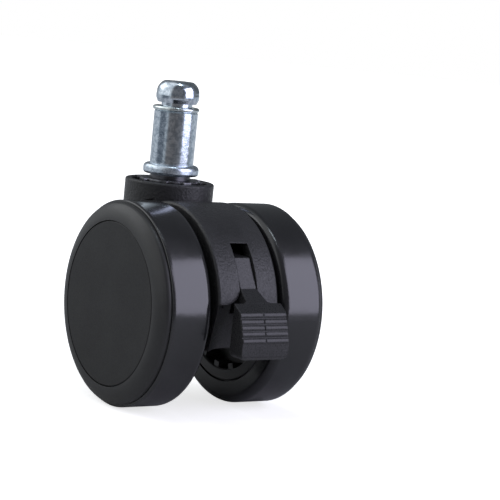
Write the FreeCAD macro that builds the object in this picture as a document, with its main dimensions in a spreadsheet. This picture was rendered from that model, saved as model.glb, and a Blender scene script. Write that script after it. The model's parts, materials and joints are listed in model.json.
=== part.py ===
import FreeCAD, Part
import math
import os
import re

import Sketcher

# Twin-wheel swivel caster for an office chair: a grip-ring stem turns in a hooded housing, two wheels
# turn on one fixed axle, and a rocking foot lever pushes two lugs between teeth inside the wheels.
# Millimetres. The row's origin is the centre of the stem's shoulder. +Z runs up the stem, +X points
# to the foot pedal and Y runs along the axle. Pieces about the axle are drawn in an axle frame, whose
# origin is the axle's middle.

DIMENSIONS = {
    # How far cuts reach past a surface, and how far joined features reach into each other
    "overcut": 1.0,
    "overlap": 0.5,
    # Where the axle lies under the stem's shoulder
    "trail": 15.3,
    "axle_drop": 32.6,
    # Wheels, with faces given by their distance from the middle plane
    "wheel_radius": 25.0,
    "wheel_inner_face": 10.0,
    "wheel_outer_face": 23.9,
    "inner_edge_round": 2.0,
    "tread_outer_face": 21.2,
    "tread_outer_edge_round": 0.3,
    "lip_radius": 24.4,
    "lip_end": 21.45,
    "lip_round": 1.3,
    "shoulder_round": 5.6,
    "edge_chamfer": 0.3,
    "tread_seam_radius": 19.8,
    "ring_groove_width": 0.3,
    "ring_groove_depth": 1.5,
    "core_rim_radius": 21.5,
    "cap_seat_radius": 20.0,
    "cap_seat_face": 22.4,
    "cap_edge_gap": 0.12,
    "cap_edge_chamfer": 0.25,
    "cap_skirt_depth": 2.4,
    "cap_skirt_wall": 1.2,
    "rim_bore_radius": 18.6,
    "tooth_ring_radius": 16.65,
    "tooth_tip_radius": 15.3,
    "tooth_width": 2.0,
    "tooth_setback": 0.3,
    "tooth_count": 16,
    "tooth_gap_angle": 95.45,
    "web_inner_face": 14.2,
    "web_outer_face": 16.0,
    "spoke_clearance": 0.3,
    "spoke_setback": 0.4,
    "spoke_width": 1.6,
    "spoke_count": 6,
    "hub_radius": 7.0,
    "hub_start": 10.1,
    "hub_end": 18.9,
    "hub_bush_radius": 4.2,
    # Axle and what holds the wheels on it
    "axle_radius": 3.0,
    "axle_half_length": 20.6,
    "axle_chamfer": 0.5,
    "running_gap": 0.05,
    "ring_groove_radius": 2.5,
    "snap_ring_start": 19.0,
    "snap_ring_thickness": 0.8,
    "snap_ring_radius": 4.9,
    "snap_ring_mouth": 2.6,
    "axle_washer_radius": 5.4,
    # Hood
    "hood_radius": 25.0,
    "hood_half_width": 8.5,
    "hood_bottom": -7.6,
    "hood_edge_round": 0.7,
    "hood_wall": 2.4,
    "side_wall": 1.8,
    "boss_radius": 5.5,
    "boss_half_length": 9.2,
    "hollow_back": -6.6,
    "rear_hollow_back": -21.5,
    "hollow_front_low": 16.0,
    "hollow_front_high": 19.0,
    "hollow_step_height": 4.0,
    "hollow_arc_height": 7.0,
    "slot_half_width": 2.5,
    "slot_low": 1.2,
    "slot_high": 17.7,
    "flare_start": 7.5,
    "flare_middle": 5.2,
    "flare_middle_half_width": 3.7,
    "flare_end": 4.1,
    "flare_end_half_width": 6.2,
    "flare_upper_round": 2.8,
    "flare_lower_round": 6.0,
    "flare_floor": 21.9,
    "scoop_radius": 11.5,
    "scoop_axis_at": 32.1,
    "scoop_top": 2.3,
    "scoop_lean": 13.0,
    "window_back": -5.2,
    "window_front": 2.2,
    "window_low": 11.2,
    "window_high": 18.2,
    # Stem collar on the hood
    "collar_radius": 11.2,
    "collar_top": 28.5,
    "collar_base": 0.0,
    "collar_foot_chamfer": 1.4,
    "collar_recess_radius": 9.5,
    "collar_recess_depth": 3.0,
    "collar_edge_round": 0.5,
    "collar_boss_radius": 7.3,
    "collar_boss_top": 27.5,
    "wheel_clearance_radius": 26.0,
    # Swivel
    "swivel_bush_radius": 5.9,
    "swivel_bush_end": 5.9,
    "bush_flange_radius": 6.8,
    "bush_flange_thickness": 0.5,
    "star_washer_radius": 7.3,
    "star_washer_thickness": 0.9,
    "star_tab_radius": 8.3,
    "star_tab_width": 2.2,
    "star_tab_count": 8,
    # Stem
    "flange_radius": 7.0,
    "flange_thickness": 2.6,
    "flange_top_round": 1.1,
    "flange_foot_round": 0.8,
    "stem_step_radius": 5.0,
    "stem_radius": 5.5,
    "stem_shank_radius": 4.0,
    "stem_foot": 3.4,
    "stem_foot_chamfer": 0.8,
    "neck_radius": 3.9,
    "neck_start": 13.4,
    "neck_end": 15.4,
    "head_foot_radius": 4.9,
    "head_full_start": 16.4,
    "head_full_end": 17.9,
    "head_radius": 5.35,
    "head_barrel_round": 3.5,
    "head_top_radius": 3.6,
    "head_round": 3.2,
    "stem_length": 20.8,
    "grip_ring_radius": 5.72,
    "grip_ring_bore": 4.7,
    "grip_ring_height": 1.0,
    "grip_ring_mouth": 2.4,
    "clip_groove_radius": 3.2,
    "clip_thickness": 0.7,
    "clip_radius": 6.0,
    "clip_mouth": 5.0,
    "clip_gap": 0.15,
    # Brake lever
    "pivot_across": 11.5,
    "pivot_up": 12.0,
    "lever_pin_radius": 1.5,
    "lever_pin_half_length": 8.3,
    "barrel_radius": 3.2,
    "barrel_half_length": 6.4,
    "arm_half_width": 2.25,
    "arm_top_across": 19.7,
    "arm_top_up": 14.55,
    "arm_foot_across": 23.7,
    "arm_foot_up": 7.75,
    "arm_knee_across": 17.0,
    "arm_knee_up": 7.4,
    "arm_heel_across": 21.5,
    "arm_heel_up": 3.2,
    "arm_toe_across": 24.1,
    "arm_toe_up": 0.4,
    "tail_half_width": 3.0,
    "tail_end": -2.6,
    "tail_low": 11.6,
    "tail_high": 14.2,
    "tail_root_drop": 2.2,
    "lug_angle": 96.4,
    "lug_half_length": 12.6,
    "lug_top_radius": 14.45,
    "lug_foot_radius": 12.0,
    "lug_half_width": 1.4,
    "neck_across": 23.6,
    "neck_top": 7.8,
    "neck_slope": 31.6,
    "neck_length": 5.2,
    "neck_thickness": 4.0,
    "neck_half_width": 2.9,
    "neck_flare": 0.8,
    "neck_foot": 0.3,
    "pedal_half_width": 6.6,
    "pedal_back": 28.0,
    "pedal_top": 5.1,
    "pedal_face_top_across": 30.5,
    "pedal_face_top": 3.5,
    "pedal_face_foot_across": 33.0,
    "pedal_face_foot": -3.6,
    "pedal_front_low": -6.8,
    "pedal_toe_across": 32.0,
    "pedal_bottom": -7.6,
    "pedal_corner_round": 1.6,
    "pedal_rib_half_length": 6.5,
    "pedal_rib_radius": 1.1,
    "pedal_rib_root": 0.3,
    "pedal_rib_count": 5,
    "pedal_outer_valley": -0.05,
    "pedal_inner_valley": 0.08,
    "pedal_split_width": 0.25,
    "pedal_split_floor": 0.12,
    "pedal_split_height": 0.8,
    # Detent spring
    "spring_thickness": 0.4,
    "spring_half_width": 6.6,
    "spring_seat": 5.55,
    "spring_crest": 7.6,
    "spring_back": -4.5,
    "spring_bend": 2.5,
    "spring_crest_start": 10.4,
    "spring_crest_end": 11.9,
    "spring_lip": 0.7,
}

doc = FreeCAD.newDocument("ChairCaster")
sheet = doc.addObject("Spreadsheet::Sheet", "Dims")
for row, (alias, number) in enumerate(DIMENSIONS.items(), start=1):
    sheet.set(f"A{row}", alias)
    sheet.set(f"B{row}", str(number))
    sheet.setAlias(f"B{row}", alias)
doc.recompute()

sub_parts = []

# Tolerances for telling edges apart, and the least volume that a cut takes
SAME_RADIUS = 1e-6
SAME_HEIGHT = 0.01
LEAST_CUT = 1e-3


# ---- Formulas on the sheet --------------------------------------------------------------------------

def on_sheet(formula):
    """Points each dimension's name in a formula at its cell."""
    return re.sub(r"[a-z_]+", lambda word: cell_or_word(word.group(0)), formula)


def cell_or_word(word):
    return "Dims." + word if word in DIMENSIONS else word


def value(formula):
    return float(sheet.evalExpression(on_sheet(formula)))


# ---- Bodies, sketches and features ------------------------------------------------------------------

def new_body(label, about_axle=True, turned_round=False):
    """A body in the axle frame or the row's own frame, turned half round Z for the -Y side."""
    body = doc.addObject("PartDesign::Body", label)
    half_turn = 180.0 if turned_round else 0.0
    body.Placement = FreeCAD.Placement(FreeCAD.Vector(), FreeCAD.Rotation(FreeCAD.Vector(0, 0, 1), half_turn))
    if about_axle:
        body.setExpression(".Placement.Base.x", on_sheet("trail"))
        body.setExpression(".Placement.Base.z", on_sheet("-axle_drop"))
    return body


def keep(item):
    """Adds an object to the caster's sub-parts."""
    sub_parts.append(item)
    return item


def new_sketch(body, name, plane, height="0"):
    """A sketch on one of the body's origin planes, lifted along the plane's normal."""
    sketch = body.newObject("Sketcher::SketchObject", name)
    support = next(item for item in body.Origin.OriginFeatures if item.Role == plane + "_Plane")
    sketch.AttachmentSupport = (support, [""])
    sketch.MapMode = "FlatFace"
    sketch.setExpression(".AttachmentOffset.Base.z", on_sheet(height))
    return sketch


def tilt_about_y(sketch, angle):
    """Turns a sketch's plane about Y by a number of degrees."""
    sketch.setExpression(".AttachmentOffset.Rotation.Axis.y", "1")
    sketch.setExpression(".AttachmentOffset.Rotation.Axis.z", "0")
    sketch.setExpression(".AttachmentOffset.Rotation.Angle", on_sheet(angle) + " * 1deg")


def pin_point(sketch, edge, end, across, up):
    for kind, formula in (("DistanceX", across), ("DistanceY", up)):
        index = sketch.addConstraint(Sketcher.Constraint(kind, -1, 1, edge, end, value(formula)))
        sketch.setExpression(f"Constraints[{index}]", on_sheet(formula))


def set_radius(sketch, edge, formula):
    index = sketch.addConstraint(Sketcher.Constraint("Radius", edge, value(formula)))
    sketch.setExpression(f"Constraints[{index}]", on_sheet(formula))


def arc_between(start, finish, radius):
    """The shorter arc from start to finish: it turns left where the radius is positive."""
    chord = finish - start
    side = FreeCAD.Vector(-chord.y, chord.x, 0).normalize()
    reach = math.sqrt(radius ** 2 - (chord.Length / 2) ** 2)
    centre = (start + finish) / 2 + side * math.copysign(reach, radius)
    first, last = (start, finish) if radius > 0 else (finish, start)
    angles = [math.atan2(place.y - centre.y, place.x - centre.x) for place in (first, last)]
    return Part.ArcOfCircle(Part.Circle(centre, FreeCAD.Vector(0, 0, 1), abs(radius)), *angles)


def draw_outline(sketch, corners):
    """A closed, anticlockwise chain. A corner is (across, up), or (across, up, radius) where an arc
    leaves it, with a negative radius for a hollow arc."""
    first = sketch.GeometryCount
    places = [FreeCAD.Vector(value(corner[0]), value(corner[1]), 0) for corner in corners]
    ends = []
    for index, corner in enumerate(corners):
        start = places[index]
        finish = places[(index + 1) % len(places)]
        hollow = False
        if len(corner) == 2:
            sketch.addGeometry(Part.LineSegment(start, finish), False)
        else:
            hollow = value(corner[2]) < 0
            sketch.addGeometry(arc_between(start, finish, value(corner[2])), False)
            set_radius(sketch, first + index, f"abs({corner[2]})")
        ends.append((2, 1) if hollow else (1, 2))
    for index, corner in enumerate(corners):
        following = (index + 1) % len(corners)
        joint = (first + index, ends[index][1], first + following, ends[following][0])
        sketch.addConstraint(Sketcher.Constraint("Coincident", *joint))
        pin_point(sketch, first + index, ends[index][0], corner[0], corner[1])


def draw_circle(sketch, across, up, radius):
    centre = FreeCAD.Vector(value(across), value(up), 0)
    circle = Part.Circle(centre, FreeCAD.Vector(0, 0, 1), value(radius))
    edge = sketch.addGeometry(circle, False)
    pin_point(sketch, edge, 3, across, up)
    set_radius(sketch, edge, radius)


def box_corners(low_across, low_up, high_across, high_up):
    return [
        (low_across, low_up),
        (high_across, low_up),
        (high_across, high_up),
        (low_across, high_up),
    ]


def pad(body, sketch, length, symmetric=True):
    feature = body.newObject("PartDesign::Pad", sketch.Name + "Pad")
    feature.Profile = sketch
    feature.SideType = "Symmetric" if symmetric else "One side"
    feature.setExpression("Length", on_sheet(length))
    return feature


def checked_cut(feature, base):
    """Recomputes and makes sure that a cut took something away."""
    doc.recompute()
    if not feature.Shape.Volume < base.Shape.Volume - LEAST_CUT:
        raise RuntimeError(feature.Name + " cuts nothing")
    return feature


def pocket(body, sketch, length, symmetric=True, along_normal=False):
    base = body.Tip
    feature = body.newObject("PartDesign::Pocket", sketch.Name + "Pocket")
    feature.Profile = sketch
    feature.SideType = "Symmetric" if symmetric else "One side"
    feature.Reversed = along_normal
    feature.FuzzyTolerance = 0
    feature.setExpression("Length", on_sheet(length))
    return checked_cut(feature, base)


def revolve(body, sketch):
    feature = body.newObject("PartDesign::Revolution", sketch.Name + "Turn")
    feature.Profile = sketch
    feature.ReferenceAxis = (sketch, ["V_Axis"])
    feature.Angle = 360
    return feature


def polar_pattern(body, feature, axis_role, count):
    pattern = body.newObject("PartDesign::PolarPattern", feature.Name + "Ring")
    pattern.Originals = [feature]
    axis = next(item for item in body.Origin.OriginFeatures if item.Role == axis_role)
    pattern.Axis = (axis, [""])
    pattern.Angle = 360
    pattern.setExpression("Occurrences", on_sheet(count))
    body.Tip = pattern
    return pattern


def dress_edges(body, kind, size, chooser):
    """Rounds or chamfers the edges of the body's tip that the chooser accepts."""
    doc.recompute()
    base = body.Tip
    names = [f"Edge{index}" for index, edge in enumerate(base.Shape.Edges, start=1) if chooser(edge)]
    if not names:
        raise RuntimeError("no edge to dress on " + body.Label)
    feature = body.newObject("PartDesign::" + kind, body.Label + kind)
    feature.Base = (base, names)
    feature.setExpression("Radius" if kind == "Fillet" else "Size", on_sheet(size))
    return feature


def is_circle(edge, radius):
    return isinstance(edge.Curve, Part.Circle) and abs(edge.Curve.Radius - radius) < SAME_RADIUS


def turned_about_axle(label, corners, turned_round=False):
    """A lathe piece about the axle: corners are (radius, distance along the axle)."""
    body = new_body(label, turned_round=turned_round)
    sketch = new_sketch(body, label + "_half", "XY")
    draw_outline(sketch, corners)
    revolve(body, sketch)
    return keep(body)


def turned_about_stem(label, corners):
    """A lathe piece about the stem: corners are (radius, height above the shoulder)."""
    body = new_body(label, about_axle=False)
    sketch = new_sketch(body, label + "_half", "XZ")
    draw_outline(sketch, corners)
    revolve(body, sketch)
    return keep(body)


# ---- Stem, which the chair holds ---------------------------------------------------------------------

STEM_FOOT = "stem_foot - axle_drop"
CLIP_LOW = "swivel_bush_end - axle_drop - clip_gap - clip_thickness"
BOSS_TOP = "collar_boss_top - axle_drop"
WASHER_LOW = BOSS_TOP + " + bush_flange_thickness"
WASHER_TOP = WASHER_LOW + " + star_washer_thickness + running_gap"


def make_stem():
    turned_about_stem("stem", [
        ("0", STEM_FOOT),
        ("clip_groove_radius", STEM_FOOT),
        ("stem_shank_radius", STEM_FOOT + " + stem_foot_chamfer"),
        ("stem_shank_radius", CLIP_LOW + " - running_gap"),
        ("clip_groove_radius", CLIP_LOW + " - running_gap"),
        ("clip_groove_radius", CLIP_LOW + " + clip_thickness + running_gap"),
        ("stem_shank_radius", CLIP_LOW + " + clip_thickness + running_gap"),
        ("stem_shank_radius", WASHER_TOP),
        ("stem_step_radius", WASHER_TOP),
        ("stem_step_radius", "-flange_thickness"),
        ("flange_radius - flange_foot_round", "-flange_thickness", "flange_foot_round"),
        ("flange_radius", "flange_foot_round - flange_thickness"),
        ("flange_radius", "-flange_top_round", "flange_top_round"),
        ("flange_radius - flange_top_round", "0"),
        ("stem_radius", "0"),
        ("stem_radius", "neck_start - edge_chamfer"),
        ("stem_radius - edge_chamfer", "neck_start"),
        ("neck_radius", "neck_start"),
        ("neck_radius", "neck_end"),
        ("head_foot_radius", "neck_end"),
        ("head_radius", "head_full_start", "head_barrel_round"),
        ("head_radius", "head_full_end", "head_round"),
        ("head_top_radius", "stem_length"),
        ("0", "stem_length"),
    ])


def make_split_ring(label, about_axle, low, height, outer, bore, mouth, turned_round=False):
    """A flat ring with a mouth cut through its wall, towards -X."""
    body = new_body(label, about_axle, turned_round)
    plane = "XZ" if about_axle else "XY"
    lift = f"-({low}) - ({height})" if about_axle else low
    ring = new_sketch(body, label + "_ring", plane, lift)
    draw_circle(ring, "0", "0", outer)
    draw_circle(ring, "0", "0", bore)
    pad(body, ring, height, symmetric=False)
    gap = new_sketch(body, label + "_mouth", plane, lift)
    half = f"({mouth}) / 2"
    draw_outline(gap, box_corners(f"-({outer}) - overcut", f"-{half}", "0", half))
    pocket(body, gap, height, symmetric=False, along_normal=True)
    return keep(body)


def make_stem_rings():
    make_split_ring(
        "grip_ring", False, "neck_start + running_gap", "grip_ring_height",
        "grip_ring_radius", "grip_ring_bore", "grip_ring_mouth")
    make_split_ring(
        "stem_clip", False, CLIP_LOW, "clip_thickness", "clip_radius", "clip_groove_radius", "clip_mouth")


# ---- Swivel pieces in the collar ---------------------------------------------------------------------

def make_swivel():
    turned_about_stem("swivel_bush", [
        ("stem_shank_radius + running_gap", "swivel_bush_end - axle_drop"),
        ("swivel_bush_radius", "swivel_bush_end - axle_drop"),
        ("swivel_bush_radius", BOSS_TOP),
        ("bush_flange_radius", BOSS_TOP),
        ("bush_flange_radius", WASHER_LOW),
        ("stem_shank_radius + running_gap", WASHER_LOW),
    ])
    body = new_body("star_washer", about_axle=False)
    disc = new_sketch(body, "washer_disc", "XY", WASHER_LOW)
    draw_circle(disc, "0", "0", "star_washer_radius")
    draw_circle(disc, "0", "0", "stem_shank_radius + running_gap")
    pad(body, disc, "star_washer_thickness", symmetric=False)
    tab = new_sketch(body, "washer_tab", "XY", WASHER_LOW)
    half = "star_tab_width / 2"
    draw_outline(tab, box_corners("star_washer_radius - overlap", "-" + half, "star_tab_radius", half))
    tab_pad = pad(body, tab, "star_washer_thickness", symmetric=False)
    polar_pattern(body, tab_pad, "Z_Axis", "star_tab_count")
    keep(body)


# ---- Housing: hood, stem collar and axle boss in one moulding -----------------------------------------

def arc_up(radius, across_or_up):
    """The other coordinate of a point on a circle about the axle."""
    return f"sqrt(({radius}) ^ 2 - ({across_or_up}) ^ 2)"


def add_hood(body):
    hood = new_sketch(body, "hood_outline", "XZ")
    end = arc_up("hood_radius", "hood_bottom")
    draw_outline(hood, [
        ("-" + end, "hood_bottom"),
        (end, "hood_bottom", "hood_radius"),
        ("0", "hood_radius", "hood_radius"),
    ])
    pad(body, hood, "hood_half_width * 2")
    dress_edges(body, "Fillet", "hood_edge_round", lambda edge: is_circle(edge, value("hood_radius")))


def add_collar(body):
    collar = new_sketch(body, "collar_outline", "XY", "collar_base")
    draw_circle(collar, "-trail", "0", "collar_radius")
    pad(body, collar, "collar_top - collar_base", symmetric=False)
    low = value("collar_base")
    rim = value("collar_radius")
    dress_edges(body, "Chamfer", "collar_foot_chamfer",
                lambda edge: is_circle(edge, rim) and edge.CenterOfMass.z < low + SAME_HEIGHT)
    clearance = new_sketch(body, "wheel_clearance", "XY")
    wide = "collar_radius + overcut"
    for low_up, high_up in (("hood_half_width", wide), (f"-({wide})", "-hood_half_width")):
        draw_outline(clearance, box_corners("axle_radius", low_up, "wheel_clearance_radius", high_up))
    base = body.Tip
    groove = body.newObject("PartDesign::Groove", "wheel_clearance_groove")
    groove.Profile = clearance
    groove.ReferenceAxis = (clearance, ["V_Axis"])
    groove.Angle = 360
    checked_cut(groove, base)
    recess = new_sketch(body, "collar_recess", "XY", "collar_top")
    draw_circle(recess, "-trail", "0", "collar_recess_radius")
    pocket(body, recess, "collar_recess_depth", symmetric=False)
    boss = new_sketch(body, "collar_boss", "XY", "collar_top - collar_recess_depth")
    draw_circle(boss, "-trail", "0", "collar_boss_radius")
    pad(body, boss, "collar_boss_top - collar_top + collar_recess_depth", symmetric=False)
    top = value("collar_top")
    inner_rim = value("collar_recess_radius")
    dress_edges(body, "Fillet", "collar_edge_round",
                lambda edge: edge.CenterOfMass.z > top - SAME_HEIGHT
                and (is_circle(edge, rim) or is_circle(edge, inner_rim)))


def add_hollows(body):
    bore = new_sketch(body, "stem_bore", "XY", "collar_top")
    draw_circle(bore, "-trail", "0", "swivel_bush_radius")
    pocket(body, bore, "collar_top - swivel_bush_end + overlap", symmetric=False)
    hollow = new_sketch(body, "hood_hollow", "XZ")
    inner = "hood_radius - hood_wall"
    draw_outline(hollow, [
        ("rear_hollow_back", "hood_bottom - overcut"),
        ("hollow_front_low", "hood_bottom - overcut"),
        ("hollow_front_high", "hollow_step_height"),
        (arc_up(inner, "hollow_arc_height"), "hollow_arc_height", inner),
        ("hollow_back", arc_up(inner, "hollow_back")),
        ("hollow_back", "swivel_bush_end"),
        ("rear_hollow_back", "swivel_bush_end"),
    ])
    pocket(body, hollow, "(hood_half_width - side_wall) * 2")
    boss = new_sketch(body, "axle_boss", "XZ")
    draw_circle(boss, "0", "0", "boss_radius")
    pad(body, boss, "boss_half_length * 2")
    bores = new_sketch(body, "cross_bores", "XZ")
    draw_circle(bores, "0", "0", "axle_radius")
    draw_circle(bores, "pivot_across", "pivot_up", "lever_pin_radius")
    pocket(body, bores, "(boss_half_length + overcut) * 2")
    window = new_sketch(body, "lug_window", "XZ")
    draw_outline(window, box_corners("window_back", "window_low", "window_front", "window_high"))
    pocket(body, window, "(hood_half_width + overcut) * 2")
    slot = new_sketch(body, "lever_slot", "YZ", "pivot_across")
    draw_outline(slot, box_corners("-slot_half_width", "slot_low", "slot_half_width", "slot_high"))
    pocket(body, slot, "hood_radius", symmetric=False, along_normal=True)


def add_front_relief(body):
    """The scooped place behind the pedal, and the flare that leads into it from the lever's slot."""
    scoop = new_sketch(body, "scoop", "XY", "scoop_top")
    scoop.setExpression(".AttachmentOffset.Base.x", on_sheet("scoop_axis_at"))
    tilt_about_y(scoop, "scoop_lean")
    draw_circle(scoop, "0", "0", "scoop_radius")
    pocket(body, scoop, "hood_radius", symmetric=False)
    flare = new_sketch(body, "flare", "YZ", "flare_floor")
    draw_outline(flare, [
        ("-flare_end_half_width", "flare_end - overcut"),
        ("flare_end_half_width", "flare_end - overcut"),
        ("flare_end_half_width", "flare_end", "-flare_lower_round"),
        ("flare_middle_half_width", "flare_middle", "-flare_upper_round"),
        ("slot_half_width", "flare_start"),
        ("-slot_half_width", "flare_start", "-flare_upper_round"),
        ("-flare_middle_half_width", "flare_middle", "-flare_lower_round"),
        ("-flare_end_half_width", "flare_end"),
    ])
    pocket(body, flare, "hood_radius", symmetric=False, along_normal=True)


def make_housing():
    body = new_body("housing")
    add_hood(body)
    add_collar(body)
    add_hollows(body)
    add_front_relief(body)
    keep(body)


# ---- Axle and its rings --------------------------------------------------------------------------------

def make_axle():
    groove_low = "snap_ring_start - running_gap"
    groove_high = "snap_ring_start + snap_ring_thickness + running_gap"
    half = [
        ("axle_radius", groove_low),
        ("ring_groove_radius", groove_low),
        ("ring_groove_radius", groove_high),
        ("axle_radius", groove_high),
        ("axle_radius", "axle_half_length - axle_chamfer"),
        ("axle_radius - axle_chamfer", "axle_half_length"),
        ("0", "axle_half_length"),
    ]
    other_half = [(across, f"-({up})") for across, up in reversed(half)]
    turned_about_axle("axle", other_half + half)


# ---- Wheels ------------------------------------------------------------------------------------------------

def make_wheel(side, turned_round):
    """The pieces of one wheel, drawn for the +Y side."""
    make_core(side, turned_round)
    turned_about_axle("tread_" + side, [
        ("tread_seam_radius", "wheel_inner_face"),
        ("wheel_radius - inner_edge_round", "wheel_inner_face", "inner_edge_round"),
        ("wheel_radius", "wheel_inner_face + inner_edge_round"),
        ("wheel_radius", "tread_outer_face - tread_outer_edge_round", "tread_outer_edge_round"),
        ("wheel_radius - tread_outer_edge_round", "tread_outer_face"),
        ("core_rim_radius", "tread_outer_face"),
        ("core_rim_radius", "wheel_inner_face + ring_groove_depth"),
        ("tread_seam_radius", "wheel_inner_face + ring_groove_depth"),
    ], turned_round)
    cap_edge = "cap_seat_radius - cap_edge_gap"
    skirt = "rim_bore_radius - cap_skirt_wall"
    turned_about_axle("hub_cap_" + side, [
        ("0", "cap_seat_face"),
        (skirt, "cap_seat_face"),
        (skirt, "cap_seat_face - cap_skirt_depth"),
        ("rim_bore_radius", "cap_seat_face - cap_skirt_depth"),
        ("rim_bore_radius", "cap_seat_face"),
        (cap_edge, "cap_seat_face"),
        (cap_edge, "wheel_outer_face - cap_edge_chamfer"),
        (cap_edge + " - cap_edge_chamfer", "wheel_outer_face"),
        ("0", "wheel_outer_face"),
    ], turned_round)
    bore = "axle_radius + running_gap"
    bush = box_corners(bore, "hub_start", "hub_bush_radius", "hub_end")
    turned_about_axle("hub_bush_" + side, bush, turned_round)
    washer_near = "boss_half_length + running_gap"
    washer = box_corners(bore, washer_near, "axle_washer_radius", "hub_start - running_gap")
    turned_about_axle("axle_washer_" + side, washer, turned_round)
    make_split_ring(
        "snap_ring_" + side, True, "snap_ring_start", "snap_ring_thickness",
        "snap_ring_radius", "ring_groove_radius", "snap_ring_mouth", turned_round)


def make_core(side, turned_round):
    body = new_body("wheel_core_" + side, turned_round=turned_round)
    half = new_sketch(body, side + "_core_half", "XY")
    ring_edge = "tread_seam_radius - ring_groove_width"
    ring_foot = "wheel_inner_face + ring_groove_depth"
    draw_outline(half, [
        ("hub_bush_radius", "hub_start"),
        ("hub_radius", "hub_start"),
        ("hub_radius", "web_inner_face"),
        ("tooth_ring_radius", "web_inner_face"),
        ("tooth_ring_radius", "wheel_inner_face + edge_chamfer"),
        ("tooth_ring_radius + edge_chamfer", "wheel_inner_face"),
        (ring_edge + " - edge_chamfer", "wheel_inner_face"),
        (ring_edge, "wheel_inner_face + edge_chamfer"),
        (ring_edge, ring_foot),
        ("core_rim_radius", ring_foot),
        ("core_rim_radius", "tread_outer_face"),
        ("lip_radius", "tread_outer_face"),
        ("lip_radius", "lip_end", "lip_round"),
        ("lip_radius - lip_round * (1 - cos(45deg))", "lip_end + lip_round * sin(45deg)", "shoulder_round"),
        ("cap_seat_radius", "wheel_outer_face"),
        ("cap_seat_radius", "cap_seat_face"),
        ("rim_bore_radius", "cap_seat_face"),
        ("rim_bore_radius", "web_outer_face"),
        ("hub_radius", "web_outer_face"),
        ("hub_radius", "hub_end"),
        ("hub_bush_radius", "hub_end"),
    ])
    revolve(body, half)
    spoke = new_sketch(body, side + "_spoke", "XY", "-spoke_width / 2")
    spoke_foot = ("hub_radius - overlap", "web_outer_face - overlap")
    spoke_tip = ("rim_bore_radius - cap_skirt_wall - spoke_clearance", "hub_end - spoke_setback")
    draw_outline(spoke, box_corners(*spoke_foot, *spoke_tip))
    spoke_pad = pad(body, spoke, "spoke_width", symmetric=False)
    polar_pattern(body, spoke_pad, "Y_Axis", "spoke_count")
    tooth = new_sketch(body, side + "_tooth", "XZ", "-web_inner_face - overlap")
    pitch_half = "180 / tooth_count"
    angle = f"180 - tooth_gap_angle - {pitch_half}" if turned_round else f"tooth_gap_angle - {pitch_half}"
    tooth_root = "tooth_ring_radius + overlap"
    draw_outline(tooth, radial_quad(angle, "tooth_tip_radius", tooth_root, "tooth_width / 2"))
    tooth_depth = "web_inner_face + overlap - wheel_inner_face - tooth_setback"
    tooth_pad = pad(body, tooth, tooth_depth, symmetric=False)
    polar_pattern(body, tooth_pad, "Y_Axis", "tooth_count")
    keep(body)


def radial_quad(angle, low_radius, high_radius, half_width):
    """A rectangle that lies along a radius of the axle, anticlockwise."""
    cosine = f"cos(({angle}) * 1deg)"
    sine = f"sin(({angle}) * 1deg)"
    corners = []
    for radius, sign in ((low_radius, "+"), (low_radius, "-"), (high_radius, "-"), (high_radius, "+")):
        flip = "-" if sign == "+" else "+"
        corners.append((
            f"({radius}) * {cosine} {flip} ({half_width}) * {sine}",
            f"({radius}) * {sine} {sign} ({half_width}) * {cosine}",
        ))
    return corners


# ---- Brake lever, its pin and its spring ----------------------------------------------------------------

def make_lever():
    body = new_body("brake_lever")
    barrel = new_sketch(body, "barrel", "XZ")
    draw_circle(barrel, "pivot_across", "pivot_up", "barrel_radius")
    pad(body, barrel, "barrel_half_length * 2")
    arm = new_sketch(body, "arm", "XZ")
    draw_outline(arm, [
        ("arm_foot_across", "arm_foot_up"),
        ("arm_top_across", "arm_top_up"),
        ("pivot_across", "pivot_up + barrel_radius"),
        ("pivot_across - lever_pin_radius", "pivot_up"),
        ("pivot_across", "pivot_up - barrel_radius"),
        ("arm_knee_across", "arm_knee_up"),
        ("arm_heel_across", "arm_heel_up"),
        ("arm_toe_across", "arm_toe_up"),
    ])
    pad(body, arm, "arm_half_width * 2")
    tail = new_sketch(body, "tail", "XZ")
    draw_outline(tail, [
        ("tail_end", "tail_low"),
        ("pivot_across", "pivot_up - tail_root_drop"),
        ("pivot_across", "pivot_up + barrel_radius"),
        ("tail_end", "tail_high"),
    ])
    pad(body, tail, "tail_half_width * 2")
    lug = new_sketch(body, "lug", "XZ")
    draw_outline(lug, radial_quad("lug_angle", "lug_foot_radius", "lug_top_radius", "lug_half_width"))
    pad(body, lug, "lug_half_length * 2")
    add_pedal(body)
    bore = new_sketch(body, "pin_bore", "XZ")
    draw_circle(bore, "pivot_across", "pivot_up", "lever_pin_radius + running_gap")
    pocket(body, bore, "(barrel_half_length + overcut) * 2")
    keep(body)


def is_lower_corner(edge, low, side):
    centre = edge.CenterOfMass
    return centre.z < low + SAME_HEIGHT and abs(centre.y) > side - SAME_HEIGHT


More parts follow.
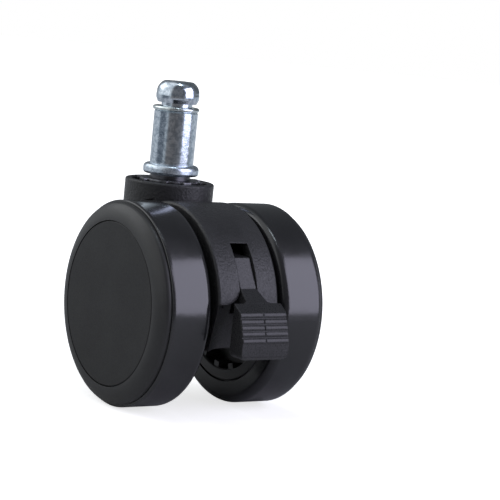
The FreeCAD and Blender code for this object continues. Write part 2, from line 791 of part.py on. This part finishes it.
def add_pedal(body):
    """The foot pedal in front of the hood, with its flared root and its grip ribs, split at the middle."""
    neck = new_sketch(body, "neck", "XY", "neck_top")
    neck.setExpression(".AttachmentOffset.Base.x", on_sheet("neck_across"))
    tilt_about_y(neck, "neck_slope")
    bend = "neck_length - neck_flare - neck_foot"
    wide = "neck_half_width + neck_flare"
    draw_outline(neck, [
        ("0", "-arm_half_width"),
        (bend, "-neck_half_width", "-neck_flare"),
        ("neck_length - neck_foot", f"-({wide})"),
        ("neck_length", f"-({wide})"),
        ("neck_length", wide),
        ("neck_length - neck_foot", wide, "-neck_flare"),
        (bend, "neck_half_width"),
        ("0", "arm_half_width"),
    ])
    slab = pad(body, neck, "neck_thickness", symmetric=False)
    slab.Reversed = True
    pedal = new_sketch(body, "pedal", "XZ")
    draw_outline(pedal, [
        ("pedal_back", "pedal_bottom"),
        ("pedal_toe_across", "pedal_bottom"),
        ("pedal_face_foot_across", "pedal_front_low"),
        ("pedal_face_foot_across", "pedal_face_foot"),
        ("pedal_face_top_across", "pedal_face_top"),
        ("pedal_back", "pedal_top"),
    ])
    pad(body, pedal, "pedal_half_width * 2")
    side = value("pedal_half_width")
    low = value("pedal_bottom")
    dress_edges(body, "Fillet", "pedal_corner_round",
                lambda edge: is_lower_corner(edge, low, side))
    ribs = new_sketch(body, "pedal_ribs", "XZ")
    draw_outline(ribs, rib_corners())
    pad(body, ribs, "pedal_rib_half_length * 2")
    split = new_sketch(body, "pedal_rib_split", "XZ")
    draw_outline(split, [
        face_point("0", "pedal_split_floor"),
        face_point(FACE_LENGTH, "pedal_split_floor"),
        face_point(FACE_LENGTH, "pedal_split_height"),
        face_point("0", "pedal_split_height"),
    ])
    pocket(body, split, "pedal_split_width")


FACE_RUN = "(pedal_face_foot_across - pedal_face_top_across)"
FACE_FALL = "(pedal_face_foot - pedal_face_top)"
FACE_LENGTH = f"sqrt({FACE_RUN} ^ 2 + {FACE_FALL} ^ 2)"


def face_point(along, out):
    """A point so far down the pedal's slanting front face and so far out of it."""
    way = f"({along}) / {FACE_LENGTH}"
    across = f"pedal_face_top_across + {way} * {FACE_RUN} - ({out}) * {FACE_FALL} / {FACE_LENGTH}"
    up = f"pedal_face_top + {way} * {FACE_FALL} + ({out}) * {FACE_RUN} / {FACE_LENGTH}"
    return across, up


def rib_corners():
    """The round grip ribs side by side down the front face, with shallower valleys at the middle."""
    corners = [face_point("0", "-pedal_rib_root"), face_point(FACE_LENGTH, "-pedal_rib_root")]
    count = int(DIMENSIONS["pedal_rib_count"])
    for index in range(count, 0, -1):
        outer = index in (1, count - 1)
        valley = "pedal_outer_valley" if outer else "pedal_inner_valley"
        height = "0" if index == count else valley
        along = f"{FACE_LENGTH} * {index} / pedal_rib_count"
        corners.append((*face_point(along, height), "pedal_rib_radius"))
    corners.append(face_point("0", "0"))
    return corners


def make_lever_fittings():
    pin = new_body("lever_pin")
    end = new_sketch(pin, "pin_end", "XZ")
    draw_circle(end, "pivot_across", "pivot_up", "lever_pin_radius")
    pad(pin, end, "lever_pin_half_length * 2")
    keep(pin)
    spring = new_body("detent_spring")
    strip = new_sketch(spring, "spring_strip", "XZ")
    draw_outline(strip, [
        ("spring_back", "spring_seat"),
        ("spring_bend", "spring_seat"),
        ("spring_crest_start", "spring_crest"),
        ("spring_crest_end", "spring_crest"),
        ("spring_crest_end + spring_lip", "spring_crest + spring_thickness"),
        ("spring_crest_start", "spring_crest + spring_thickness"),
        ("spring_bend", "spring_seat + spring_thickness"),
        ("spring_back", "spring_seat + spring_thickness"),
    ])
    pad(spring, strip, "spring_half_width * 2")
    keep(spring)


# ---- Build, check and write --------------------------------------------------------------------------------

make_stem()
make_stem_rings()
make_swivel()
make_housing()
make_axle()
make_wheel("left", turned_round=False)
make_wheel("right", turned_round=True)
make_lever()
make_lever_fittings()
doc.recompute()

for item in doc.Objects:
    if {"Invalid", "Error"} & set(item.State):
        raise RuntimeError(f"{item.Name} failed: {item.State}")
for part in sub_parts:
    if part.Shape.isNull() or not part.Shape.isValid():
        raise RuntimeError(part.Label + " has no valid shape")

os.makedirs("parts", exist_ok=True)
for part in sub_parts:
    part.Shape.exportStep(os.path.join("parts", part.Label + ".step"))
    box = part.Shape.BoundBox
    print(f"{part.Label}: {len(part.Shape.Solids)} solid, {part.Shape.Volume:.1f} mm3, "
          f"x {box.XMin:.2f} to {box.XMax:.2f}, y {box.YMin:.2f} to {box.YMax:.2f}, "
          f"z {box.ZMin:.2f} to {box.ZMax:.2f}")
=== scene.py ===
import json
import math

import bpy
from mathutils import Matrix, Vector


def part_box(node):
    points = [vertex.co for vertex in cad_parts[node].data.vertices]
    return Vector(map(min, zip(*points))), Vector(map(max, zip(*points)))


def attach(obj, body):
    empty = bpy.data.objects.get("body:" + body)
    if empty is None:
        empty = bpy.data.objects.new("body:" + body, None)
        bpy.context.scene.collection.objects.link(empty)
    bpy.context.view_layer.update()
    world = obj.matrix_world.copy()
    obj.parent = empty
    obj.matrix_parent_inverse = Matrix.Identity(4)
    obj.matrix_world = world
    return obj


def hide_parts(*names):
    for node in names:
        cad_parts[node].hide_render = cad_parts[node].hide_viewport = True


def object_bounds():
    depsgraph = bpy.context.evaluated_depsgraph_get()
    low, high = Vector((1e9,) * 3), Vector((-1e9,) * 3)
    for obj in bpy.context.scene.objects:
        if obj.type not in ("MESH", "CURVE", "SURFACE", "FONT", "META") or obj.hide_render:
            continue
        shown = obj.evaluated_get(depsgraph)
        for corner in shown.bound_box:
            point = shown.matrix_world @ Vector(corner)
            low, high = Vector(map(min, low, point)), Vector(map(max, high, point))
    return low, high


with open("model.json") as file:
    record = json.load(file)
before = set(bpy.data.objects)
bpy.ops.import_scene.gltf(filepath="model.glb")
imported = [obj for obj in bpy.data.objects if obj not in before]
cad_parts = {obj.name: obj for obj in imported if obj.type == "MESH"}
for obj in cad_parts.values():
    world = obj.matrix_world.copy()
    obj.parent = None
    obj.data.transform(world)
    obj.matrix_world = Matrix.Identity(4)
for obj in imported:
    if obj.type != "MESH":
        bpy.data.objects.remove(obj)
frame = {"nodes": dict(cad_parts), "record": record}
nodes = frame["nodes"]
cad_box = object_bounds()

MM = 0.001

axle_low, axle_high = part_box("axle")
AXLE = (axle_low + axle_high) / 2
FLOOR_HEIGHT = cad_box[0].z
CENTRE = (cad_box[0] + cad_box[1]) / 2


def add_object(name, data):
    """A new object in the scene."""
    made = bpy.data.objects.new(name, data)
    bpy.context.scene.collection.objects.link(made)
    return made


# ---- Node trees ---------------------------------------------------------------------------------

RISING = (0, 1)
FALLING = (1, 0)
BEVEL_SAMPLES = 6


class Nodes:
    """A node tree under construction."""

    def __init__(self, tree):
        self.tree = tree
        self.tree.nodes.clear()

    def add(self, kind, **settings):
        node = self.tree.nodes.new(kind)
        for key, setting in settings.items():
            setattr(node, key, setting)
        return node

    def link(self, source, target):
        self.tree.links.new(source, target)

    def axes(self, vector):
        """The outputs X, Y and Z of a vector."""
        node = self.add("ShaderNodeSeparateXYZ")
        self.link(vector, node.inputs["Vector"])
        return node.outputs

    def spread(self, field, span, onto, interpolation="SMOOTHSTEP"):
        """Maps a span of a field onto another, clamped, and smoothly unless told otherwise."""
        node = self.add("ShaderNodeMapRange", interpolation_type=interpolation)
        node.inputs["From Min"].default_value, node.inputs["From Max"].default_value = span
        node.inputs["To Min"].default_value, node.inputs["To Max"].default_value = onto
        self.link(field, node.inputs["Value"])
        return node.outputs["Result"]

    def blend(self, share, first, second):
        """A colour between two, by a field from 0 to 1. Each is a fixed colour or an output."""
        node = self.add("ShaderNodeMix", data_type="RGBA")
        for side, colour in (("A", first), ("B", second)):
            if isinstance(colour, tuple):
                node.inputs[side].default_value = (*colour, 1)
            else:
                self.link(colour, node.inputs[side])
        self.link(share, node.inputs["Factor"])
        return node.outputs["Result"]

    def between(self, share, first, second):
        """A number between two outputs, by a third."""
        node = self.add("ShaderNodeMix", data_type="FLOAT")
        self.link(share, node.inputs["Factor"])
        self.link(first, node.inputs["A"])
        self.link(second, node.inputs["B"])
        return node.outputs["Result"]

    def either(self, share, first, second):
        """The first node's shader where the share is 0, and the second node's where it is 1."""
        node = self.add("ShaderNodeMixShader")
        self.link(share, node.inputs["Fac"])
        self.link(first.outputs[0], node.inputs[1])
        self.link(second.outputs[0], node.inputs[2])
        return node

    def seen_by_camera(self):
        return self.add("ShaderNodeLightPath").outputs["Is Camera Ray"]


class Surface(Nodes):
    """A material's node tree. With an edge_mm, sharp edges are shaded as if rounded that much."""

    def __init__(self, name, edge_mm=0.0):
        self.material = bpy.data.materials.new(name)
        self.material.use_nodes = True
        super().__init__(self.material.node_tree)
        self.principled = self.add("ShaderNodeBsdfPrincipled")
        output = self.add("ShaderNodeOutputMaterial")
        self.link(self.principled.outputs["BSDF"], output.inputs["Surface"])
        self.place = self.add("ShaderNodeTexCoord").outputs["Object"]
        if edge_mm:
            edge = self.add("ShaderNodeBevel", samples=BEVEL_SAMPLES)
            edge.inputs["Radius"].default_value = edge_mm * MM
            self.link(edge.outputs["Normal"], self.principled.inputs["Normal"])

    def scaled(self, per_mm, stretch=(1, 1, 1)):
        """Object coordinates with so many units to the millimetre, stretched along the axes."""
        mapping = self.add("ShaderNodeMapping")
        mapping.inputs["Scale"].default_value = [per_mm / MM * share for share in stretch]
        self.link(self.place, mapping.inputs["Vector"])
        return mapping.outputs["Vector"]

    def noise(self, per_mm, detail=3.0, roughness=0.55, stretch=(1, 1, 1)):
        """A noise field with so many bumps to the millimetre."""
        texture = self.add("ShaderNodeTexNoise", noise_dimensions="3D")
        texture.inputs["Scale"].default_value = 1.0
        texture.inputs["Detail"].default_value = detail
        texture.inputs["Roughness"].default_value = roughness
        self.link(self.scaled(per_mm, stretch), texture.inputs["Vector"])
        return texture.outputs["Fac"]

    def cells(self, per_mm):
        """Distances in a field of rounded cells, for moulded grain."""
        texture = self.add("ShaderNodeTexVoronoi", feature="F1")
        texture.inputs["Scale"].default_value = 1.0
        self.link(self.scaled(per_mm), texture.inputs["Vector"])
        return texture.outputs["Distance"]

    def outward(self):
        """The distance from the middle plane."""
        distance = self.add("ShaderNodeMath", operation="ABSOLUTE")
        self.link(self.axes(self.place)["Y"], distance.inputs[0])
        return distance.outputs["Value"]

    def set(self, **values):
        """Sets the surface's own sockets: specular_ior_level=... is Specular IOR Level."""
        for key, number in values.items():
            socket = key.replace("_", " ").title().replace("Ior", "IOR")
            self.principled.inputs[socket].default_value = number

    def colour(self, output):
        self.link(output, self.principled.inputs["Base Color"])

    def roughness(self, output):
        self.link(output, self.principled.inputs["Roughness"])

    def bump(self, field, depth_mm):
        """Relief of a depth in millimetres, on top of any relief added before."""
        node = self.add("ShaderNodeBump")
        node.inputs["Strength"].default_value = 1.0
        node.inputs["Distance"].default_value = depth_mm * MM
        self.link(field, node.inputs["Height"])
        normal = self.principled.inputs["Normal"]
        if normal.links:
            self.link(normal.links[0].from_socket, node.inputs["Normal"])
        self.link(node.outputs["Normal"], normal)


# ---- Materials ----------------------------------------------------------------------------------

# The span of a noise field that a look is spread over: most of its range, or less for more contrast
MOST = (0.30, 0.70)
DRIFT = (0.35, 0.65)
HAZE = (0.35, 0.70)
MOTTLE = (0.38, 0.62)

NYLONS = {
    "housing_nylon": {
        "dark": (0.022, 0.022, 0.023), "light": (0.030, 0.030, 0.031),
        "grain_per_mm": 2.4, "grain_mm": 0.100, "rough": (0.28, 0.50), "gloss": 0.35, "edge_mm": 0.25,
    },
    "lever_nylon": {
        "dark": (0.020, 0.020, 0.021), "light": (0.025, 0.025, 0.026),
        "grain_per_mm": 3.2, "grain_mm": 0.030, "rough": (0.24, 0.36), "gloss": 0.34, "edge_mm": 0.35,
    },
    "wheel_nylon": {
        "dark": (0.021, 0.021, 0.021), "light": (0.026, 0.026, 0.026),
        "grain_per_mm": 4.5, "grain_mm": 0.008, "rough": (0.34, 0.46), "gloss": 0.40,
    },
    "cap_nylon": {
        "dark": (0.015, 0.015, 0.015), "light": (0.019, 0.019, 0.019),
        "grain_per_mm": 3.0, "grain_mm": 0.006, "rough": (0.44, 0.54), "gloss": 0.27,
    },
}
DRIFT_PER_MM = 0.09
PITS_TO_GRAIN = 0.6         # the pits' number and depth beside the grain's

STEELS = {
    "spring_steel": {
        "dark": (0.58, 0.64, 0.65), "light": (0.74, 0.80, 0.80),
        "mottle_per_mm": 1.4, "pits_mm": 0.006, "rough": (0.16, 0.28),
    },
    "washer_steel": {
        "dark": (0.11, 0.11, 0.12), "light": (0.20, 0.20, 0.21),
        "mottle_per_mm": 1.2, "pits_mm": 0.008, "rough": (0.26, 0.42),
    },
    "axle_steel": {
        "dark": (0.48, 0.48, 0.50), "light": (0.62, 0.62, 0.64),
        "mottle_per_mm": 1.6, "pits_mm": 0.004, "rough": (0.14, 0.24),
    },
}
FINE_TO_MOTTLE = 5
LINES_PER_MM = 2.2
LINES_STRETCH = (0.25, 0.25, 3.0)
LINES_TO_PITS = 0.4         # the turning lines' depth beside the pits'

STEM_PLATING = {
    "dark": (0.42, 0.49, 0.56), "light": (0.72, 0.79, 0.86), "mottle_per_mm": 0.9, "pits_mm": 0.010,
}
STEM_POLISHED = (0.10, 0.20)
STEM_SATIN = (0.26, 0.38)
STEM_PAINTED_SHADE = (0.10, 0.10, 0.11)
PAINTED_SHADE_EDGE = (-2.9 * MM, -2.5 * MM)    # above the shoulder, from painted shade to the plating's own colour
SATIN_EDGE = (0.1 * MM, 0.6 * MM)       # above the shoulder, from satin steel to polished

TYRE_DARK = (0.014, 0.014, 0.015)
TYRE_LIGHT = (0.019, 0.019, 0.020)
TYRE_ROUGH = (0.17, 0.25)
TYRE_IOR = 1.56
TYRE_HAZE_PER_MM = 0.05
TYRE_EDGE = (20.1 * MM, 21.6 * MM)      # from the middle plane, where the tyre's skin falls away
TYRE_EDGE_FALL_MM = 0.23
TYRE_WAVES_PER_MM = 0.13
TYRE_WAVES_MM = 0.060
TYRE_MARKS_PER_MM = 0.35
TYRE_MARKS_STRETCH = (1, 0.25, 1)
TYRE_MARKS_MM = 0.006

ACETAL_DARK = (0.030, 0.030, 0.033)
ACETAL_LIGHT = (0.045, 0.045, 0.049)
ACETAL_ROUGH = (0.32, 0.45)
ACETAL_DRIFT_PER_MM = 0.2
ACETAL_GRAIN_PER_MM = 1.5
ACETAL_GRAIN_MM = 0.004


def grained_nylon(name, dark, light, grain_per_mm, grain_mm, rough, gloss, edge_mm=0.0):
    """Moulded black nylon with the cast of a spark-eroded mould: fine pits and a drifting shade."""
    nylon = Surface(name, edge_mm)
    drift = nylon.noise(DRIFT_PER_MM, detail=4.0)
    grain = nylon.noise(grain_per_mm, detail=2.0, roughness=0.7)
    nylon.set(specular_ior_level=gloss)
    nylon.colour(nylon.blend(nylon.spread(drift, DRIFT, RISING), dark, light))
    nylon.roughness(nylon.spread(grain, MOST, rough))
    nylon.bump(grain, grain_mm)
    nylon.bump(nylon.cells(grain_per_mm * PITS_TO_GRAIN), grain_mm * PITS_TO_GRAIN)
    return nylon


def tyre_polyurethane(name):
    """Glossy black tyre: a wavy skin with haze and turning marks, which falls away at its edge."""
    tyre = Surface(name)
    haze = tyre.noise(TYRE_HAZE_PER_MM, detail=5.0)
    tyre.colour(tyre.blend(tyre.spread(haze, HAZE, RISING), TYRE_DARK, TYRE_LIGHT))
    tyre.roughness(tyre.spread(haze, HAZE, TYRE_ROUGH))
    tyre.set(ior=TYRE_IOR)
    tyre.bump(tyre.spread(tyre.outward(), TYRE_EDGE, FALLING), TYRE_EDGE_FALL_MM)
    tyre.bump(tyre.noise(TYRE_WAVES_PER_MM), TYRE_WAVES_MM)
    tyre.bump(tyre.noise(TYRE_MARKS_PER_MM, detail=2.0, stretch=TYRE_MARKS_STRETCH), TYRE_MARKS_MM)
    return tyre


def plate(steel, dark, light, mottle_per_mm, pits_mm):
    """Gives a steel pitted plating over turning lines, and returns its colour and a finer field."""
    mottle = steel.noise(mottle_per_mm, detail=6.0, roughness=0.65)
    steel.set(metallic=1.0)
    steel.bump(mottle, pits_mm)
    steel.bump(steel.noise(LINES_PER_MM, detail=2.0, stretch=LINES_STRETCH), pits_mm * LINES_TO_PITS)
    colour = steel.blend(steel.spread(mottle, MOTTLE, RISING), dark, light)
    return colour, steel.noise(mottle_per_mm * FINE_TO_MOTTLE)


def plated_steel(name, rough, **plating):
    """Zinc-plated or ground steel."""
    steel = Surface(name)
    colour, fine = plate(steel, **plating)
    steel.colour(colour)
    steel.roughness(steel.spread(fine, MOST, rough))
    return steel


def stem_steel(name):
    """Plated steel: bright on the shank and head, satin on the shoulder, with painted shade below it.
    """
    steel = Surface(name)
    colour, fine = plate(steel, **STEM_PLATING)
    height = steel.axes(steel.place)["Z"]
    # Painted shade: below the shoulder the plating is coloured dark, where the collar shades it
    unshaded = steel.spread(height, PAINTED_SHADE_EDGE, RISING)
    steel.colour(steel.blend(unshaded, STEM_PAINTED_SHADE, colour))
    satin = steel.spread(height, SATIN_EDGE, FALLING)
    polished_roughness = steel.spread(fine, MOST, STEM_POLISHED)
    satin_roughness = steel.spread(fine, MOST, STEM_SATIN)
    steel.roughness(steel.between(satin, polished_roughness, satin_roughness))
    return steel


def smooth_acetal(name):
    """The bushes' dark slippery plastic."""
    acetal = Surface(name)
    drift = acetal.noise(ACETAL_DRIFT_PER_MM)
    acetal.colour(acetal.blend(drift, ACETAL_DARK, ACETAL_LIGHT))
    acetal.roughness(acetal.spread(drift, MOST, ACETAL_ROUGH))
    acetal.bump(acetal.noise(ACETAL_GRAIN_PER_MM), ACETAL_GRAIN_MM)
    return acetal


def make_materials():
    """The record's material slots and their materials."""
    made = {name: grained_nylon(name, **look) for name, look in NYLONS.items()}
    made.update({name: plated_steel(name, **look) for name, look in STEELS.items()})
    made["tread_polyurethane"] = tyre_polyurethane("tread_polyurethane")
    made["stem_steel"] = stem_steel("stem_steel")
    made["bush_acetal"] = smooth_acetal("bush_acetal")
    return {slot: surface.material for slot, surface in made.items()}


def dress_cad_nodes(materials):
    """Gives each CAD node the material of its slot in the record."""
    for row in frame["record"]["subparts"]:
        mesh = nodes[row["node"]].data
        mesh.materials.clear()
        mesh.materials.append(materials[row["material_slot"]])


# ---- Softened edges -----------------------------------------------------------------------------

SOFT_EDGES = {                # the roundings' width
    "brake_lever": 0.17 * MM,
    "star_washer": 0.12 * MM,
}
SHARP_FROM = math.radians(28.0)
FLAT_WITHIN = math.radians(0.5)
SAME_CORNER_WITHIN = 0.002 * MM
ROUNDING_STEPS = 3
LARGE_FACE_WEIGHT = 90        # from 1 to 100, where 50 counts large and small faces alike


def soften_edges(name, width):
    """Rounds a CAD node's sharp edges with modifiers, which leave its mesh as it is."""
    node = nodes[name]
    weld = node.modifiers.new("join_corners", "WELD")
    weld.merge_threshold = SAME_CORNER_WITHIN
    flat = node.modifiers.new("join_flat_faces", "DECIMATE")
    flat.decimate_type = "DISSOLVE"
    flat.angle_limit = FLAT_WITHIN
    bevel = node.modifiers.new("round_edges", "BEVEL")
    bevel.width = width
    bevel.segments = ROUNDING_STEPS
    bevel.limit_method = "ANGLE"
    bevel.angle_limit = SHARP_FROM
    normals = node.modifiers.new("even_normals", "WEIGHTED_NORMAL")
    normals.keep_sharp = False
    normals.weight = LARGE_FACE_WEIGHT


# ---- Grip ring ----------------------------------------------------------------------------------

RING_RADIUS = 5.30 * MM       # to the middle of the round wire
WIRE_RADIUS = 0.55 * MM
WIRE_TIP = 0.05 * MM          # how far into its rounding each end of the wire starts
RING_SHIFT = 0.22 * MM        # it sits off centre, as far as its groove lets it
RING_MOUTH = math.radians(26.0)
RING_STEPS = 72
WIRE_STEPS = 20


def make_grip_ring(materials):
    """A split ring of round wire in the neck of the stem, with rounded ends at its mouth."""
    low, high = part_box("grip_ring")
    middle = Vector((-RING_SHIFT, 0, (low.z + high.z) / 2))
    sweep = 2 * math.pi - RING_MOUTH
    points = []
    for step in range(RING_STEPS + 1):
        share = step / RING_STEPS
        azimuth = math.pi + RING_MOUTH / 2 + share * sweep
        from_end = min(share, 1 - share) * sweep * RING_RADIUS
        rounding = 1 - min(1.0, (from_end + WIRE_TIP) / WIRE_RADIUS)
        swell = math.sqrt(1 - rounding ** 2)
        for turn in range(WIRE_STEPS):
            angle = 2 * math.pi * turn / WIRE_STEPS
            reach = RING_RADIUS + WIRE_RADIUS * swell * math.cos(angle)
            lift = WIRE_RADIUS * swell * math.sin(angle)
            points.append(middle + Vector((reach * math.cos(azimuth), reach * math.sin(azimuth), lift)))
    faces = [list(range(WIRE_STEPS))]
    for step in range(RING_STEPS):
        row = step * WIRE_STEPS
        next_row = row + WIRE_STEPS
        for turn in range(WIRE_STEPS):
            following = (turn + 1) % WIRE_STEPS
            faces.append([row + turn, next_row + turn, next_row + following, row + following])
    faces.append([RING_STEPS * WIRE_STEPS + turn for turn in reversed(range(WIRE_STEPS))])
    mesh = bpy.data.meshes.new("grip_ring_wire")
    mesh.from_pydata([tuple(point) for point in points], [], faces)
    mesh.polygons.foreach_set("use_smooth", [True] * len(faces))
    mesh.materials.append(materials["spring_steel"])
    ring = add_object("grip_ring_wire", mesh)
    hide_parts("grip_ring")
    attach(ring, "stem")


# ---- Camera -------------------------------------------------------------------------------------

CAMERA_AZIMUTH = math.radians(35.05)      # from +X towards -Y
CAMERA_ELEVATION = math.radians(7.38)
CAMERA_ROLL = math.radians(5.75)
CAMERA_DISTANCE = 0.46273                 # metres, along the view to the axle's depth
CAMERA_ASIDE = -0.01442
CAMERA_ABOVE = -0.01301
SENSOR_WIDTH = 36.0
LENS = 134.88
NEAREST_SEEN = 0.01
FURTHEST_SEEN = 20.0


def make_camera():
    """The photograph's view of the caster."""
    back = Vector((
        math.cos(CAMERA_ELEVATION) * math.cos(CAMERA_AZIMUTH),
        -math.cos(CAMERA_ELEVATION) * math.sin(CAMERA_AZIMUTH),
        math.sin(CAMERA_ELEVATION)))
    level_right = (-back).cross(Vector((0, 0, 1))).normalized()
    level_up = level_right.cross(-back)
    right = math.cos(CAMERA_ROLL) * level_right + math.sin(CAMERA_ROLL) * level_up
    up = -math.sin(CAMERA_ROLL) * level_right + math.cos(CAMERA_ROLL) * level_up
    data = bpy.data.cameras.new("camera")
    data.sensor_width = SENSOR_WIDTH
    data.lens = LENS
    data.clip_start = NEAREST_SEEN
    data.clip_end = FURTHEST_SEEN
    camera = add_object("camera", data)
    turn = Matrix((right, up, back)).transposed()
    spot = AXLE + back * CAMERA_DISTANCE - right * CAMERA_ASIDE - up * CAMERA_ABOVE
    camera.matrix_world = Matrix.Translation(spot) @ turn.to_4x4()
    bpy.context.scene.camera = camera


# ---- Studio -------------------------------------------------------------------------------------

# Azimuths are from +X towards +Y and elevations from level, in degrees. Lengths are in metres.
SOFTBOXES = {
    "key": {
        "azimuth": 36.0, "elevation": 22.5, "distance": 1.0, "width": 0.84, "height": 0.94,
        "radiance": (2.75, 2.70, 3.38),
    },
    "fill": {
        "azimuth": -146.0, "elevation": 34.0, "distance": 0.34, "width": 0.26, "height": 0.18,
        "radiance": (1.05, 1.07, 1.10),
    },
    "top": {
        "azimuth": 20.0, "elevation": 84.0, "distance": 1.0, "width": 0.11, "height": 0.26,
        "radiance": (8.6, 9.8, 10.8),
    },
}


def make_softbox(name, azimuth, elevation, distance, width, height, radiance):
    """A rectangular light that faces the object, and that the camera sees in reflections only."""
    azimuth = math.radians(azimuth)
    elevation = math.radians(elevation)
    away = Vector((
        math.cos(elevation) * math.cos(azimuth),
        math.cos(elevation) * math.sin(azimuth),
        math.sin(elevation)))
    strongest = max(radiance)
    data = bpy.data.lights.new(name, "AREA")
    data.shape = "RECTANGLE"
    data.size = width
    data.size_y = height
    data.color = [share / strongest for share in radiance]
    data.energy = strongest * math.pi * width * height
    lamp = add_object(name, data)
    lamp.location = CENTRE + away * distance
    lamp.rotation_mode = "QUATERNION"
    lamp.rotation_quaternion = away.to_track_quat("Z", "Y")
    lamp.visible_camera = False


# What the studio shows around the object, below the skyline and above it: azimuth and radiance
SURROUNDINGS_LOW = (
    (-180.0, (0.49, 0.52, 0.56)),
    (-127.0, (0.49, 0.52, 0.56)),
    (-114.0, (0.10, 0.12, 0.15)),
    (-86.0, (0.10, 0.12, 0.15)),
    (-79.0, (0.36, 0.39, 0.42)),
    (-73.0, (0.36, 0.39, 0.42)),
    (-66.0, (0.17, 0.16, 0.16)),
    (-30.0, (0.14, 0.13, 0.13)),
    (2.0, (0.16, 0.16, 0.17)),
    (12.0, (0.36, 0.37, 0.41)),
    (62.0, (0.36, 0.38, 0.41)),
    (80.0, (0.46, 0.50, 0.56)),
    (110.0, (0.57, 0.60, 0.64)),
    (180.0, (0.49, 0.52, 0.56)),
)
SURROUNDINGS_HIGH = (
    (-180.0, (0.30, 0.32, 0.34)),
    (-150.0, (1.00, 1.03, 1.06)),
    (-80.0, (1.00, 1.03, 1.06)),
    (-62.0, (0.15, 0.15, 0.16)),
    (5.0, (0.13, 0.13, 0.14)),
    (14.0, (0.26, 0.27, 0.30)),
    (60.0, (0.26, 0.27, 0.30)),
    (85.0, (0.12, 0.13, 0.14)),
    (150.0, (0.12, 0.13, 0.14)),
    (180.0, (0.30, 0.32, 0.34)),
)
SKYLINE = (-0.05, 0.05)     # the sine of the elevation, where the low ring gives way to the high one
FULL_TURN = 360.0


def ring_colour(studio, turn, surroundings):
    """The colour of a ring of surroundings, at a share of the full turn from -180 degrees."""
    node = studio.add("ShaderNodeValToRGB")
    stops = node.color_ramp.elements
    while len(stops) < len(surroundings):
        stops.new(1.0)
    for stop, (azimuth, radiance) in zip(stops, surroundings):
        stop.position = (azimuth + FULL_TURN / 2) / FULL_TURN
        stop.color = (*radiance, 1)
    studio.link(turn, node.inputs["Fac"])
    return node.outputs["Color"]


def make_world():
    """A white backdrop to the camera, and the studio's darks and lights by azimuth to the object."""
    world = bpy.data.worlds.new("studio")
    bpy.context.scene.world = world
    world.use_nodes = True
    studio = Nodes(world.node_tree)
    direction = studio.axes(studio.add("ShaderNodeTexCoord").outputs["Generated"])
    angle = studio.add("ShaderNodeMath", operation="ARCTAN2")
    studio.link(direction["Y"], angle.inputs[0])
    studio.link(direction["X"], angle.inputs[1])
    turn = studio.spread(angle.outputs["Value"], (-math.pi, math.pi), RISING, "LINEAR")
    low_ring = ring_colour(studio, turn, SURROUNDINGS_LOW)
    high_ring = ring_colour(studio, turn, SURROUNDINGS_HIGH)
    rise = studio.spread(direction["Z"], SKYLINE, RISING)
    around = studio.add("ShaderNodeBackground")
    studio.link(studio.blend(rise, low_ring, high_ring), around.inputs["Color"])
    white = studio.add("ShaderNodeBackground")
    white.inputs["Color"].default_value = (1, 1, 1, 1)
    backdrop = studio.either(studio.seen_by_camera(), around, white)
    output = studio.add("ShaderNodeOutputWorld")
    studio.link(backdrop.outputs["Shader"], output.inputs["Surface"])


FLOOR_RADIUS = 3.0
FLOOR_SIDES = 96
FLOOR_SEEN = (0.80, 0.80, 0.80, 1)      # to the camera
FLOOR_GLOW = (0.70, 1.0)                # added to it, near the object and far from it
FLOOR_GLOW_REACH = (0.05, 0.30)
FLOOR_BOUNCE = (0.60, 0.60, 0.60, 1)    # to the object
FLOOR_BOUNCE_REACH = (0.12, 0.35)       # where it gives way to the surroundings


def floor_paper():
    """White paper to the camera, and a paper disc under the object to everything else."""
    material = bpy.data.materials.new("pale_floor")
    material.use_nodes = True
    paper = Nodes(material.node_tree)
    distance = paper.add("ShaderNodeVectorMath", operation="LENGTH")
    paper.link(paper.add("ShaderNodeTexCoord").outputs["Object"], distance.inputs[0])
    reach = distance.outputs["Value"]
    sheet = paper.add("ShaderNodeBsdfDiffuse")
    sheet.inputs["Color"].default_value = FLOOR_SEEN
    glow = paper.add("ShaderNodeEmission")
    paper.link(paper.spread(reach, FLOOR_GLOW_REACH, FLOOR_GLOW), glow.inputs["Strength"])
    lit = paper.add("ShaderNodeAddShader")
    paper.link(sheet.outputs["BSDF"], lit.inputs[0])
    paper.link(glow.outputs["Emission"], lit.inputs[1])
    disc = paper.add("ShaderNodeBsdfDiffuse")
    disc.inputs["Color"].default_value = FLOOR_BOUNCE
    open_air = paper.add("ShaderNodeBsdfTransparent")
    bounce = paper.either(paper.spread(reach, FLOOR_BOUNCE_REACH, RISING), disc, open_air)
    output = paper.add("ShaderNodeOutputMaterial")
    shown = paper.either(paper.seen_by_camera(), bounce, lit)
    paper.link(shown.outputs["Shader"], output.inputs["Surface"])
    return material


def make_floor():
    """A pale round floor that fades into the backdrop."""
    corners = []
    for side in range(FLOOR_SIDES):
        angle = 2 * math.pi * side / FLOOR_SIDES
        corners.append((FLOOR_RADIUS * math.cos(angle), FLOOR_RADIUS * math.sin(angle), 0))
    mesh = bpy.data.meshes.new("floor")
    mesh.from_pydata(corners, [], [list(range(FLOOR_SIDES))])
    mesh.materials.append(floor_paper())
    floor = add_object("floor", mesh)
    floor.location = (AXLE.x, AXLE.y, FLOOR_HEIGHT)


# ---- Build --------------------------------------------------------------------------------------

materials = make_materials()
dress_cad_nodes(materials)
for node_name, edge_width in SOFT_EDGES.items():
    soften_edges(node_name, edge_width)
make_grip_ring(materials)
make_camera()
make_world()
make_floor()
for lamp_name, settings in SOFTBOXES.items():
    make_softbox(lamp_name, **settings)
bpy.context.scene.view_settings.view_transform = "Standard"
